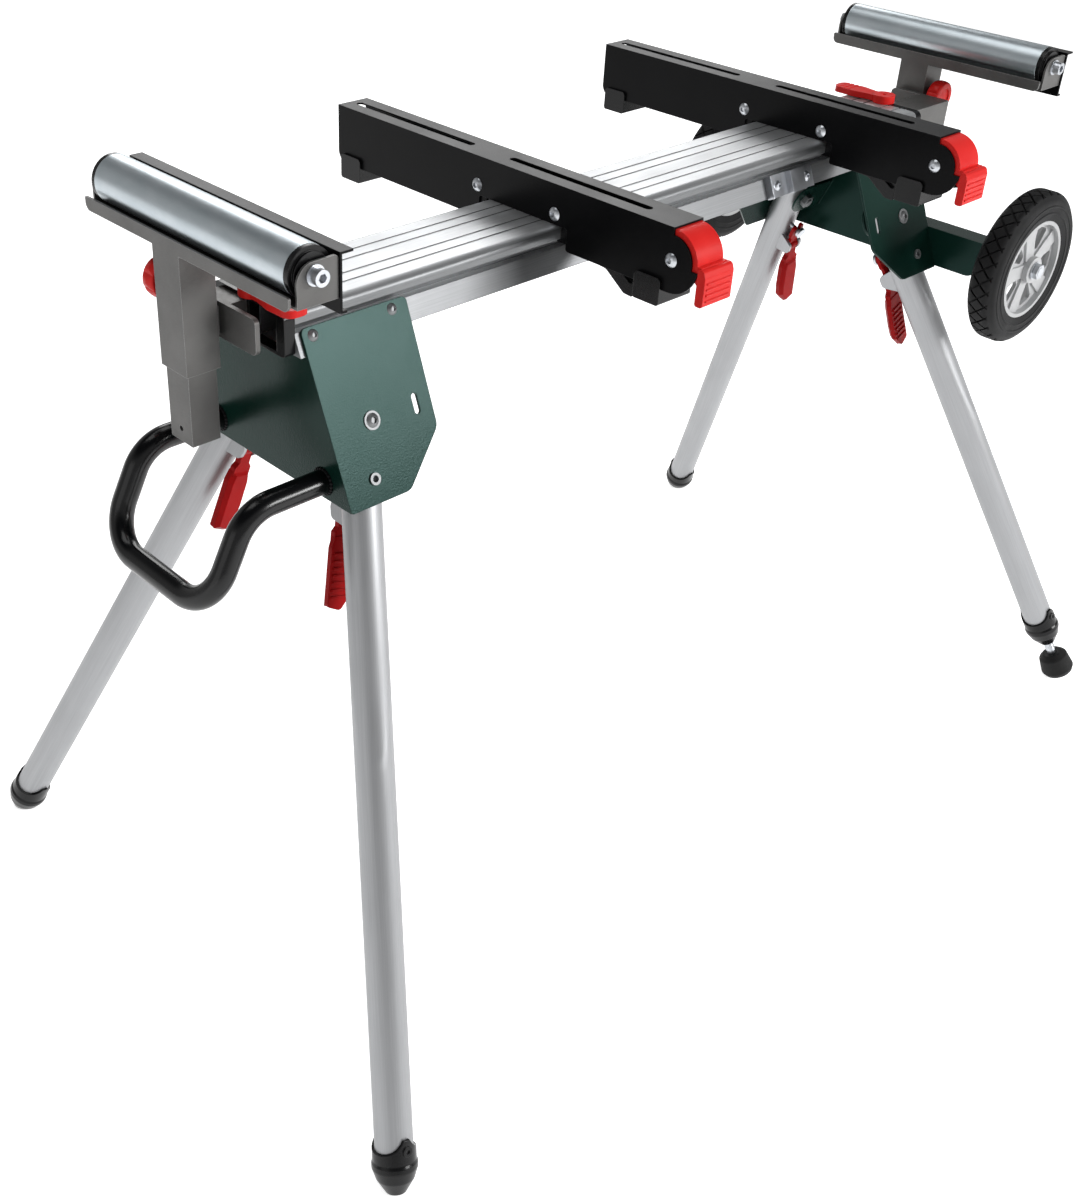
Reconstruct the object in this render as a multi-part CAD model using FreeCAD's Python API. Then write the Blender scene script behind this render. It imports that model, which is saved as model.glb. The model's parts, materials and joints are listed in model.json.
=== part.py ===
import FreeCAD, Part
import math
import os

os.makedirs("parts", exist_ok=True)

V = FreeCAD.Vector

# Miter saw stand: a beam on four folding legs, with two tool arms clamped across it,
# a pull-out roller support at each end, two wheels and a carry handle.
# Millimetres and degrees. X runs along the beam, -Y is the front and the floor is z = 0.

# Gaps between pieces
sliding_gap = 0.3
running_gap = 0.05

# Beam: an extrusion with a slot along each side and two inner chambers
beam_length = 1010.0
beam_width = 112.0
beam_top = 807.0
beam_depth = 45.0
beam_wall = 3.0
beam_floor = 4.0
beam_edge_radius = 8.5
side_slot_depth = 10.0
side_slot_height = 9.0
side_slot_below_top = 14.0
side_slot_edge = 0.8
lower_rail_inset = 3.0
top_groove_width = 3.0
top_groove_depth = 0.8
top_groove_offsets = (13.0, 30.0)
end_cap_length = 12.0
end_cap_inset = 0.5
end_cap_corner = 4.0

# Brackets that carry the legs
bracket_inset = 6.0
bracket_sheet = 3.0
bracket_lean = 24.0
bracket_overlap = 2.0
bracket_top_length = 128.0
bracket_taper = 2.0
bracket_side_height = 131.0
bracket_height = 181.0
bracket_bottom_length = 74.5
bracket_corner = 6.0
bracket_lower_corner = 14.0
pivot_inset = 51.0
pivot_drop = 102.7
lock_distance = 56.0
clevis_ear_radius = 21.0
fold_slot_straight = 14.0
fold_slot_play = 0.6

# Bracket screws, leg pivot bolts and lock bushes
bracket_screw_radius = 3.0
bracket_screw_length = 10.0
bracket_screw_head = 6.0
bracket_screw_head_height = 3.4
bracket_screw_insets = (12.0, 108.0)
bracket_screw_drop = 8.7
pivot_bolt_radius = 5.0
pivot_head_radius = 8.0
pivot_head_height = 4.5
pivot_washer_radius = 9.5
pivot_washer = 1.2
pivot_nut_across = 16.0
pivot_nut_height = 7.0
pivot_bolt_tail = 2.0
lock_bush_wall = 1.5
lock_bush_play = 0.4
lock_bush_flange = 6.2
lock_bush_flange_height = 2.0

# Zinc stop bracket on the front of the beam
stop_start = 193.0
stop_length = 88.0
stop_height = 26.5
stop_above_plate = -1.0
stop_sheet = 2.5
stop_hat_start = 38.0
stop_hat_width = 25.0
stop_hat_rise = 7.5
stop_end_flange = 7.0
stop_screw_insets = (19.0, 76.0)

# Legs
leg_radius = 20.0
leg_wall = 2.0
leg_plate_gap = 1.0
leg_head = 26.0
left_lean = 15.25
right_lean = 17.15
leg_bush_wall = 4.0
pin_guide_wall = 3.0
lug_thickness = 4.0
lug_root = 16.0
lug_nose = 7.5

# Release levers and lock pins
lock_pin_radius = 3.0
lock_pin_head = 7.5
lock_pin_head_height = 4.0
lock_pin_lift = 3.0
lever_below_pin = 30.0
lever_pivot_offset = 30.0
lever_pin_radius = 3.0
lever_hub_radius = 6.5
lever_hub_half = 7.0
lever_length = 104.0
lever_tilt = 13.0
lever_half_width = 14.0
lever_neck_half = 11.0
lever_neck_length = 36.0
fork_half_width = 9.5
fork_thickness = 5.0
fork_above_pin = 8.0
fork_play = 0.7
finger_ribs = 7
finger_rib_pitch = 7.5
finger_rib_width = 2.6

# Feet: one moulding, cut level at the floor on three legs
foot_radius = 24.0
foot_ridge = 1.2
foot_ridge_drop = 26.0
foot_height = 58.0
foot_length = 62.0
foot_end_radius = 10.0
foot_socket = 40.0
foot_scoop_radius = 30.0
foot_scoop_depth = 16.0
foot_screw_drop = 12.0
foot_screw_radius = 5.5

# Levelling foot at the right front leg
stem_radius = 6.0
stem_length = 75.0
stem_showing = 20.0
rubber_radius = 23.0
rubber_height = 46.0
rubber_taper = 3.0
rubber_chamfer = 7.0
rubber_flat = 1.5

# Tool arms
arm_centres = {"left": -136.6, "right": 327.0}
arm_width = 43.7
arm_sheet = 2.0
arm_rise = 43.0
arm_depth = 67.0
arm_back = 310.0
arm_nose = 206.0
arm_back_corner = 14.0
arm_corner = 3.0
nose_cut_drop = 4.0
arm_notch_play = 10.0
arm_slot_width = 9.0
arm_slot_length = 200.0
arm_back_slot = 200.0
arm_front_slot = -58.0
arm_bolt_radius = 4.0
arm_bolt_head = 7.5
arm_bolt_head_height = 4.0
arm_nut_across = 13.0
arm_nut_height = 5.0
arm_bolt_tail = 3.0
hook_reach = 5.0
hook_thickness = 3.0
hook_body = 18.0
hook_rise = 22.0

# Clamp jaws and pads of the arms
jaw_travel = 3.0
jaw_below_top = 12.0
jaw_belly_depth = 21.0
jaw_belly_length = 39.0
jaw_belly_flat = 13.0
jaw_recess = 4.0
pad_width = 50.0
pad_wall = 3.0
pad_drop = 17.0
pad_rise = 12.0
front_pad_front = 198.0
front_pad_back = 164.0
back_pad_front = 267.0
back_pad_back = 302.0

# Cam levers
cam_band = 6.0
cam_hub_radius = 11.0
cam_rib = 8.0
cam_paddle_gap = 0.7
cam_paddle_thickness = 9.7
cam_paddle_below = 3.0
cam_ribs = 4
cam_rib_pitch = 6.0
cam_rib_radius = 1.1

# Roller supports
rail_pull = {"left": 18.0, "right": 80.0}
lip_rise = {"left": 54.0, "right": 31.0}
roller_span = 315.0
roller_radius = 23.5
roller_wall = 1.6
roller_sheet = 2.5
roller_depth = 53.0
roller_lip_height = 13.0
roller_lip_corner = 7.0
roller_axis_in = 28.0
roller_floor_gap = 1.0
roller_axle_radius = 5.0
roller_end_gap = 10.0
roller_cap_flange = 5.5
roller_cap_step = 8.0
roller_cap_plug = 14.0
roller_cap_play = 0.3
ear_top = 39.0
ear_inset = 9.0
ear_corner = 18.0
stop_plate_sheet = 2.2
stop_plate_drop = 14.0
stop_plate_rise = 41.0
stop_plate_flange = 12.0
stop_plate_foot = 5.0
stop_plate_overhang = 2.0
axle_washer_radius = 9.5
axle_washer = 1.6
axle_head_radius = 7.5
axle_head_height = 9.0
axle_nut_across = 15.0
axle_nut_height = 7.0

# Sleeve of each roller head, the post inside it and the clamp knob
sleeve_x = 38.0
sleeve_y = 42.0
sleeve_wall = 2.7
sleeve_length = 119.0
sleeve_centre_y = 24.0
sleeve_slot_top = 38.5
post_below_head = 3.0
post_length = 168.0
post_wall = 2.5
post_hole_radius = 3.0
post_hole_rise = 14.0
knob_drop = 41.0
knob_radius = 21.0
knob_depth = 17.0
knob_lobes = 8
knob_lobe_radius = 9.0
knob_edge = 4.0
knob_dish_radius = 11.5
knob_dish_depth = 1.5
knob_gap = 1.0
knob_boss_radius = 9.0
knob_boss = 4.0
knob_screw_radius = 4.0
knob_screw_gap = 0.15

# Pull-out rails and their clamp levers
rail_wall = 1.8
rail_length = 944.0
rail_plate = 5.0
rail_plate_gap = 9.0
rail_plate_corner = 6.0
tongue_width = 18.0
tongue_play = 1.0
tongue_gap = 1.5
tongue_rise = 3.0
rail_lever_length = 72.0
rail_lever_width = 28.0
rail_lever_neck = 20.0
rail_lever_thickness = 8.5
rail_lever_hub = 14.0
rail_lever_grooves = 3
rail_lever_groove_pitch = 7.0
rail_screw_radius = 4.0

# Wheels and axle
axle_out = 17.0
axle_drop = 155.0
axle_radius = 6.0
axle_tail = 9.0
channel_sheet = 3.0
channel_above_axle = 19.0
channel_height = 48.0
channel_half_length = 190.0
channel_flange = 31.0
channel_lower_flange = 22.0
channel_corner = 18.0
channel_end_drop = 14.0
wheel_radius = 98.0
wheel_width = 38.0
wheel_front = 256.0
wheel_gap = 1.0
wheel_spacer_radius = 10.0
wheel_nut_across = 17.0
rim_radius = 63.0
rim_wall = 5.0
rim_inset = 2.0
rim_web = 5.0
rim_web_place = -9.0
rim_hub_radius = 17.0
spoke_rise = 3.0
spoke_hub_half = 8.0
spoke_rim_half = 11.0
wheel_spokes = 5
window_near = 25.0
window_far = 53.0
window_near_half = 5.0
window_far_half = 13.0
tyre_shoulder = 10.0
tread_depth = 4.0
tread_grooves = 32
tread_groove_width = 2.4
tread_skew = 42.0

# Carry handle
handle_radius = 12.5
handle_wall = 2.0
handle_half_width = 86.0
handle_root_drop = 167.0
handle_bend_reach = 91.0
handle_bar_reach = 139.0
handle_bar_drop = 260.0
handle_bend_radius = 45.0

# Sizes that follow from the ones above
half_beam = beam_width / 2
beam_bottom = beam_top - beam_depth
beam_end = beam_length / 2
cap_end = beam_end + end_cap_length
slot_top = beam_top - side_slot_below_top
slot_bottom = slot_top - side_slot_height
chamber_inner = beam_wall / 2
chamber_outer = half_beam - side_slot_depth - beam_wall
chamber_bottom = beam_bottom + beam_floor
chamber_top = beam_top - beam_wall - top_groove_depth
lean_tan = math.tan(math.radians(bracket_lean))
lean_sin = math.sin(math.radians(bracket_lean))
lean_cos = math.cos(math.radians(bracket_lean))
bracket_reach = beam_end - bracket_inset
plate_top = slot_bottom + bracket_overlap
plate_inner_y = half_beam - lower_rail_inset
leg_axis_depth = leg_plate_gap + leg_radius
ear_depth = leg_axis_depth + leg_radius + leg_plate_gap
pivot_z = plate_top - pivot_drop * lean_cos - leg_axis_depth * lean_sin
lever_y = -lock_distance - lever_below_pin
levelling_cap_end = rubber_height + stem_showing
arm_top = beam_top + arm_rise
arm_bottom = arm_top - arm_depth
arm_notch_half = half_beam + arm_notch_play
arm_nose_radius = arm_depth / 2
arm_nose_z = arm_top - arm_nose_radius
arm_inside = arm_width - 2 * arm_sheet
moving_width = arm_inside - 2 * sliding_gap
jaw_near = -half_beam - sliding_gap
jaw_pad_face = -front_pad_back + jaw_travel + sliding_gap
rail_out = {"left": -1, "right": 1}
rail_plate_face = {side: cap_end + rail_pull[side] + rail_plate for side in rail_pull}
lip_x = {
    "left": -rail_plate_face["left"] - rail_plate_gap - sleeve_x,
    "right": rail_plate_face["right"] + rail_plate_gap,
}
lip_z = {side: beam_top + lip_rise[side] for side in lip_rise}
lowest_head = min(lip_z.values())
post_top = lowest_head - post_below_head
post_bottom = post_top - post_length
post_x = sleeve_x - 2 * (sleeve_wall + sliding_gap)
post_y = sleeve_y - 2 * (sleeve_wall + sliding_gap)
sleeve_front = sleeve_centre_y - sleeve_y / 2
sleeve_back = sleeve_centre_y + sleeve_y / 2
roller_axis_up = roller_sheet + roller_radius + roller_floor_gap
roller_tube_half = roller_span / 2 - roller_sheet - roller_end_gap
axle_x = bracket_reach + axle_out
axle_z = beam_top - axle_drop
channel_top = axle_z + channel_above_axle
channel_bottom = channel_top - channel_height
wheel_middle_y = -(wheel_front - wheel_width / 2)


# Shape helpers

def block(x0, x1, y0, y1, z0, z1):
    return Part.makeBox(x1 - x0, y1 - y0, z1 - z0, V(x0, y0, z0))


def rod(start, axis, radius, length):
    return Part.makeCylinder(radius, length, start, axis)


def join(shapes):
    whole = shapes[0]
    if len(shapes) > 1:
        whole = whole.multiFuse(shapes[1:])
    return whole.removeSplitter()


def cut(shape, tools):
    for tool in tools:
        shape = shape.cut(tool)
    return shape


def corner_arc(before, corner, after, radius):
    to_before = (before - corner).normalize()
    to_after = (after - corner).normalize()
    half = to_before.getAngle(to_after) / 2
    reach = radius / math.tan(half)
    first = corner + to_before * reach
    last = corner + to_after * reach
    centre = corner + (to_before + to_after).normalize() * (radius / math.sin(half))
    middle = centre + (corner - centre).normalize() * radius
    return first, middle, last, centre


def rounded_wire(points, radii):
    edges = []
    count = len(points)
    ends = []
    for i in range(count):
        if radii[i] > 0:
            after = points[(i + 1) % count]
            first, middle, last, centre = corner_arc(points[i - 1], points[i], after, radii[i])
            ends.append((first, last, Part.Arc(first, middle, last).toShape()))
        else:
            ends.append((points[i], points[i], None))
    for i in range(count):
        if ends[i][2] is not None:
            edges.append(ends[i][2])
        start = ends[i][1]
        stop = ends[(i + 1) % count][0]
        if (stop - start).Length > 0.001:
            edges.append(Part.makeLine(start, stop))
    return Part.Wire(edges)


def bent_rod(points, bend, radius):
    pieces = []
    start = points[0]
    for i in range(1, len(points) - 1):
        first, middle, last, centre = corner_arc(points[i - 1], points[i], points[i + 1], bend)
        along = first - start
        pieces.append(rod(start, along, radius, along.Length))
        disc = Part.Face(Part.Wire(Part.makeCircle(radius, first, along)))
        from_centre = first - centre
        to_centre = last - centre
        turn = math.degrees(from_centre.getAngle(to_centre))
        pieces.append(disc.revolve(centre, from_centre.cross(to_centre), turn))
        start = last
    along = points[-1] - start
    pieces.append(rod(start, along, radius, along.Length))
    return join(pieces)


def prism(points, radii, direction):
    return Part.Face(rounded_wire(points, radii)).extrude(direction)


def profile_yz(corners, x0, x1):
    points = [V(x0, y, z) for y, z, radius in corners]
    return prism(points, [radius for y, z, radius in corners], V(x1 - x0, 0, 0))


def profile_xz(corners, y0, y1):
    points = [V(x, y0, z) for x, z, radius in corners]
    return prism(points, [radius for x, z, radius in corners], V(0, y1 - y0, 0))


def profile_xy(corners, z0, z1):
    points = [V(x, y, z0) for x, y, radius in corners]
    return prism(points, [radius for x, y, radius in corners], V(0, 0, z1 - z0))


def revolved(corners):
    # Outline of (radius, height, corner radius), turned about the Y axis
    points = [V(radius, height, 0) for radius, height, corner in corners]
    face = Part.Face(rounded_wire(points, [corner for radius, height, corner in corners]))
    return face.revolve(V(0, 0, 0), V(0, 1, 0), 360)


def slot_z(x, y, straight, radius, z0, z1):
    # Slot with round ends, its straight part along Y
    half = straight / 2
    pieces = [block(x - radius, x + radius, y - half, y + half, z0, z1)]
    for end in (y - half, y + half):
        pieces.append(rod(V(x, end, z0), V(0, 0, 1), radius, z1 - z0))
    return join(pieces)


def mirror_x(shape):
    return shape.mirror(V(0, 0, 0), V(1, 0, 0))


def mirror_y(shape):
    return shape.mirror(V(0, 0, 0), V(0, 1, 0))


def turned(shape):
    half_turn = shape.copy()
    half_turn.rotate(V(0, 0, 0), V(0, 0, 1), 180)
    return half_turn


def placed(shape, place):
    moved = shape.copy()
    moved.Placement = place.multiply(moved.Placement)
    return moved


def hexagon(centre, axis, across, height):
    steps = FreeCAD.Rotation(V(0, 0, 1), axis)
    points = []
    for i in range(6):
        angle = math.radians(60 * i)
        spoke = V(math.cos(angle), math.sin(angle), 0) * (across / math.sqrt(3))
        points.append(centre + steps.multVec(spoke))
    return prism(points, [0] * 6, axis * height)


def button_head(centre, axis, radius, height):
    ball_radius = (radius * radius + height * height) / (2 * height)
    ball = Part.makeSphere(ball_radius, centre - axis * (ball_radius - height))
    head = rod(centre, axis, radius, height).common(ball)
    socket = hexagon(centre + axis * (height * 0.45), axis, radius * 0.75, height)
    return head.cut(socket)


# Frame of the left front plate: x inward along the beam, y up the slope, z outward

def plate_place():
    origin = V(-bracket_reach, -plate_inner_y, plate_top)
    return FreeCAD.Placement(origin, FreeCAD.Rotation(V(1, 0, 0), 90 - bracket_lean))


# Frame of the left front leg: y up the leg from its pivot, z outward

def leg_place(lean):
    origin = V(pivot_inset, -pivot_drop, -leg_axis_depth)
    swing = FreeCAD.Rotation(V(0, 0, 1), -lean)
    return plate_place().multiply(FreeCAD.Placement(origin, swing))


def leg_slope(lean):
    # Cosine of the angle between the leg and the vertical
    return lean_cos * math.cos(math.radians(lean))


def leg_reach(lean):
    return pivot_z / leg_slope(lean)


# Beam

def chamber(side, x0, x1):
    near, far = sorted((side * chamber_inner, side * chamber_outer))
    return block(x0, x1, near, far, chamber_bottom, chamber_top)


def make_beam():
    rail_bottom_y = plate_inner_y + (plate_top - beam_bottom) * lean_tan
    rail_top_y = plate_inner_y + (plate_top - slot_bottom) * lean_tan
    slot_floor = half_beam - side_slot_depth
    right = [
        (half_beam, beam_top, beam_edge_radius),
        (half_beam, slot_top, side_slot_edge),
        (slot_floor, slot_top, 0),
        (slot_floor, slot_bottom, 0),
        (rail_top_y, slot_bottom, side_slot_edge),
        (rail_bottom_y, beam_bottom, 0),
    ]
    left = [(-y, z, radius) for y, z, radius in reversed(right)]
    body = profile_yz(right + left, -beam_end, beam_end)
    groove_floor = beam_top - top_groove_depth
    tools = []
    for side in (1, -1):
        tools.append(chamber(side, -beam_end, beam_end))
        for offset in top_groove_offsets:
            near = side * offset - top_groove_width / 2
            tools.append(block(-beam_end, beam_end, near, near + top_groove_width, groove_floor, beam_top))
    return cut(body, tools + bracket_screw_holes())


def make_end_cap():
    edge = half_beam - end_cap_inset
    top = beam_top - end_cap_inset
    bottom = beam_bottom + end_cap_inset
    outline = [
        (edge, top, beam_edge_radius),
        (edge, bottom, end_cap_corner),
        (-edge, bottom, end_cap_corner),
        (-edge, top, beam_edge_radius),
    ]
    body = profile_yz(outline, beam_end, cap_end)
    windows = [chamber(side, beam_end, cap_end) for side in (1, -1)]
    hole_start = V((beam_end + cap_end) / 2, 0, chamber_top - 1.0)
    lever_hole = rod(hole_start, V(0, 0, 1), rail_screw_radius + running_gap, beam_wall + 5.0)
    return cut(body, windows + [lever_hole])


def make_end_caps():
    cap = make_end_cap()
    return Part.makeCompound([cap, turned(cap)])


# Leg brackets

def make_plate(lean):
    outline = [
        (0.0, 0.0, bracket_corner),
        (bracket_top_length, 0.0, bracket_corner),
        (bracket_top_length - bracket_taper, -bracket_side_height, bracket_lower_corner),
        (bracket_bottom_length, -bracket_height, bracket_lower_corner),
        (0.0, -bracket_height, bracket_sheet),
    ]
    plate = profile_xy(outline, 0, bracket_sheet)
    bush_hole = rod(lock_point(lean), V(0, 0, 1), lock_bush_radius(), bracket_sheet)
    # Slot that takes the lock pin when the leg is folded
    slot_x = pivot_inset + lock_distance
    slot_radius = lock_pin_radius + fold_slot_play
    fold_slot = slot_z(slot_x, -pivot_drop, fold_slot_straight, slot_radius, 0, bracket_sheet)
    return cut(plate, [bush_hole, fold_slot])


def lock_point(lean):
    angle = math.radians(lean)
    x = pivot_inset - lock_distance * math.sin(angle)
    y = -pivot_drop - lock_distance * math.cos(angle)
    return V(x, y, 0)


def lock_bush_radius():
    return lock_pin_radius + lock_bush_play + lock_bush_wall


def make_clevis_ear():
    # Tongue of the bracket's web behind each leg, which carries the pivot's inner end
    low = -pivot_drop - clevis_ear_radius
    high = -pivot_drop + clevis_ear_radius
    root = bracket_sheet / 6
    z0 = -ear_depth - bracket_sheet
    strip = block(root, pivot_inset, low, high, z0, -ear_depth)
    end = rod(V(pivot_inset, -pivot_drop, z0), V(0, 0, 1), clevis_ear_radius, bracket_sheet)
    return join([strip, end])


def make_web():
    # The folded face between the front and back plates
    low = plate_top - (bracket_height - bracket_sheet / 2) * lean_cos
    top_half = plate_inner_y + (plate_top - beam_bottom) * lean_tan + 1.0
    bottom_half = plate_inner_y + (plate_top - low) * lean_tan + 1.0
    return profile_yz([
        (-top_half, beam_bottom, 0),
        (top_half, beam_bottom, 0),
        (bottom_half, low, 0),
        (-bottom_half, low, 0),
    ], -bracket_reach, -bracket_reach + bracket_sheet)


def make_bracket(lean):
    bolt_start = V(pivot_inset, -pivot_drop, -ear_depth - 2 * bracket_sheet)
    bolt_hole = rod(bolt_start, V(0, 0, 1), pivot_bolt_radius, ear_depth + 4 * bracket_sheet)
    front = [
        placed(make_plate(lean).cut(bolt_hole), plate_place()),
        placed(make_clevis_ear().cut(bolt_hole), plate_place()),
    ]
    back = [mirror_y(shape) for shape in front]
    return cut(join(front + back + [make_web()]), bracket_screw_holes())


def screw_seats():
    # Points on the outer faces of the four plates, each with its outward direction
    seats = []
    outward = V(0, -lean_cos, lean_sin)
    for inset in bracket_screw_insets:
        point = plate_place().multVec(V(inset, -bracket_screw_drop, bracket_sheet))
        for end in (1, -1):
            for side in (1, -1):
                seat = V(point.x * end, point.y * side, point.z)
                seats.append((seat, V(0, outward.y * side, outward.z)))
    return seats


def bracket_screw_holes():
    holes = []
    depth = bracket_screw_length + 1.0
    for point, outward in screw_seats():
        holes.append(rod(point - outward * depth, outward, bracket_screw_radius, depth + sliding_gap))
    return holes


def make_bracket_screws():
    screws = []
    for point, outward in screw_seats():
        start = point - outward * bracket_screw_length
        shank = rod(start, outward, bracket_screw_radius, bracket_screw_length)
        head = button_head(point, outward, bracket_screw_head, bracket_screw_head_height)
        screws.append(join([shank, head]))
    return Part.makeCompound(screws)


def make_pivot_bolts():
    axis = V(0, 0, 1)
    outer = V(pivot_inset, -pivot_drop, bracket_sheet)
    inner = V(pivot_inset, -pivot_drop, -ear_depth - bracket_sheet)
    head = button_head(outer, axis, pivot_head_radius, pivot_head_height)
    washer = rod(outer, axis, pivot_washer_radius, pivot_washer)
    tail = inner - axis * (pivot_nut_height + pivot_bolt_tail)
    shank = rod(tail, axis, pivot_bolt_radius, outer.z - tail.z)
    nut = hexagon(inner - axis * pivot_nut_height, axis, pivot_nut_across, pivot_nut_height)
    one = placed(join([head, washer, shank, nut]), plate_place())
    return Part.makeCompound([one, mirror_y(one), mirror_x(one), mirror_x(mirror_y(one))])


def make_lock_bush(lean):
    axis = V(0, 0, 1)
    point = lock_point(lean)
    flange = rod(point + axis * bracket_sheet, axis, lock_bush_flange, lock_bush_flange_height)
    spigot = rod(point, axis, lock_bush_radius(), bracket_sheet)
    bore = rod(point, axis, lock_pin_radius + lock_bush_play, bracket_sheet + lock_bush_flange_height)
    return placed(join([flange, spigot]).cut(bore), plate_place())


def make_lock_bushes():
    left = make_lock_bush(left_lean)
    right = mirror_x(make_lock_bush(right_lean))
    return Part.makeCompound([left, mirror_y(left), right, mirror_y(right)])


def make_stop_bracket():
    # Folded zinc bracket on the front of the lower rail, in the slope of the plates
    start = bracket_reach + stop_start
    end = start + stop_length
    hat_start = start + stop_hat_start
    hat_end = hat_start + stop_hat_width
    high = stop_above_plate
    low = high - stop_height
    rise = stop_sheet + stop_hat_rise
    base = block(start, end, low, high, 0, stop_sheet)
    hat = block(hat_start, hat_end, low, high, 0, rise)
    hollow = block(hat_start + stop_sheet, hat_end - stop_sheet, low, high, 0, rise - stop_sheet)
    flange = block(start, start + stop_sheet, low, high, 0, stop_sheet + stop_end_flange)
    heads = []
    for inset in stop_screw_insets:
        seat = V(start + inset, (low + high) / 2, stop_sheet)
        heads.append(button_head(seat, V(0, 0, 1), bracket_screw_head, bracket_screw_head_height))
    return placed(join([base, hat, flange] + heads).cut(hollow), plate_place())


# Legs

def make_leg(lean, end_gap):
    length = leg_reach(lean) - end_gap + leg_head
    down = V(0, -1, 0)
    across = V(0, 0, 1)
    head = V(0, leg_head, 0)
    outside = rod(head, down, leg_radius, length)
    hollow = rod(head, down, leg_radius - leg_wall, length)
    bush = rod(V(0, 0, -leg_radius), across, pivot_bolt_radius + leg_bush_wall, 2 * leg_radius)
    guide_start = V(0, -lock_distance, -leg_radius)
    guide = rod(guide_start, across, lock_pin_radius + pin_guide_wall, 2 * leg_radius)
    lug_near = lever_hub_half + sliding_gap
    lugs = [make_lug(lug_near, lug_near + lug_thickness), make_lug(-lug_near - lug_thickness, -lug_near)]
    half_pin = lug_near + lug_thickness
    pin_start = V(-half_pin, lever_y, -lever_pivot_offset)
    cross_pin = rod(pin_start, V(1, 0, 0), lever_pin_radius, 2 * half_pin)
    fittings = [bush.common(outside), guide.common(outside), cross_pin]
    solid = join([outside.cut(hollow)] + fittings + [lug.cut(hollow) for lug in lugs])
    through = 3 * leg_radius
    bolt_hole = rod(V(0, 0, -through), across, pivot_bolt_radius + running_gap, 2 * through)
    pin_hole = rod(V(0, -lock_distance, -through), across, lock_pin_radius + running_gap, 2 * through)
    return cut(solid, [bolt_hole, pin_hole])


def make_lug(x0, x1):
    root_z = -leg_radius * 0.75
    nose_z = -lever_pivot_offset - lug_nose
    return profile_yz([
        (lever_y + lug_root, root_z, 0),
        (lever_y + lug_nose, nose_z, lug_nose - 0.5),
        (lever_y - lug_nose, nose_z, lug_nose - 0.5),
        (lever_y - lug_root, root_z, 0),
    ], x0, x1)


def make_release_lever():
    pivot = V(0, lever_y, -lever_pivot_offset)
    hub = rod(V(-lever_hub_half, 0, 0), V(1, 0, 0), lever_hub_radius, 2 * lever_hub_half)
    paddle = make_paddle()
    paddle.rotate(V(0, 0, 0), V(1, 0, 0), lever_tilt)
    bore_start = V(-2 * lever_half_width, 0, 0)
    bore = rod(bore_start, V(1, 0, 0), lever_pin_radius + running_gap, 4 * lever_half_width)
    lever = join([hub, make_fork(), paddle]).cut(bore)
    lever.translate(pivot)
    return lever


def make_fork():
    # Two prongs beside the lock pin, under its head
    top = lever_below_pin + fork_above_pin
    shoulder = lug_root
    half = fork_half_width
    fork = profile_xy([
        (-lever_hub_half, 0, 0),
        (lever_hub_half, 0, 0),
        (lever_hub_half, shoulder, 0),
        (half, shoulder + 4.0, 0),
        (half, top, 3.0),
        (-half, top, 3.0),
        (-half, shoulder + 4.0, 0),
        (-lever_hub_half, shoulder, 0),
    ], -fork_thickness / 2, fork_thickness / 2)
    slot_half = lock_pin_radius + fork_play
    slot_low = lever_below_pin - slot_half
    return fork.cut(block(-slot_half, slot_half, slot_low, top, -fork_thickness, fork_thickness))


def make_paddle():
    # Finger paddle, hanging from the lever pivot along -y, with its outer face at -z
    half = lever_half_width
    neck = lever_neck_half
    neck_end = -lever_neck_length
    end = -lever_length
    arm = profile_xy([
        (-lever_hub_half, 2.0, 0),
        (lever_hub_half, 2.0, 0),
        (lever_hub_half, neck_end + 19.0, 0),
        (neck, neck_end + 14.0, 0),
        (neck, neck_end, 0),
        (-neck, neck_end, 0),
        (-neck, neck_end + 14.0, 0),
        (-lever_hub_half, neck_end + 19.0, 0),
    ], -4.0, 3.5)
    outline = [
        (-neck, neck_end + 10.0, 2.0),
        (neck, neck_end + 10.0, 2.0),
        (half, neck_end, 4.0),
        (half + 1.0, (end + neck_end) / 2, 30.0),
        (half - 1.0, end + 16.0, 5.0),
        (half - 12.0, end, 5.0),
        (-half, end + 5.0, 4.0),
        (-half, neck_end - 2.0, 4.0),
    ]
    base = profile_xy(outline, -2.0, 4.5)
    crown = make_paddle_crown(outline, (end + neck_end + 10.0) / 2)
    ribs = []
    for i in range(finger_ribs):
        y = neck_end - 8.0 - finger_rib_pitch * i
        low = y - finger_rib_width / 2
        ribs.append(block(3.0 - half, half - 3.0, low, low + finger_rib_width, 4.0, 6.0))
    return join([arm, base, crown] + ribs)


def make_paddle_crown(outline, middle):
    # Outer face drawn in on all sides, which gives the paddle its facets
    wires = []
    for depth, narrow, shorten in ((-2.0, 1.0, 1.0), (-7.0, 0.72, 0.88)):
        points = [V(x * narrow, middle + (y - middle) * shorten, depth) for x, y, radius in outline]
        wires.append(Part.makePolygon(points + [points[0]]))
    return Part.makeLoft(wires, True, True)


def make_lock_pin():
    # The nose ends just short of the plate, so that the leg can turn past it
    axis = V(0, 0, 1)
    nose = leg_axis_depth - sliding_gap
    head_at = -lever_pivot_offset - fork_thickness / 2 - lock_pin_lift
    shank = rod(V(0, -lock_distance, head_at), axis, lock_pin_radius, nose - head_at)
    head_start = V(0, -lock_distance, head_at - lock_pin_head_height)
    return join([shank, rod(head_start, axis, lock_pin_head, lock_pin_head_height)])


# Feet

def below_floor():
    return block(-2 * beam_length, 2 * beam_length, -2 * beam_length, 2 * beam_length, -beam_top, 0)


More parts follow.
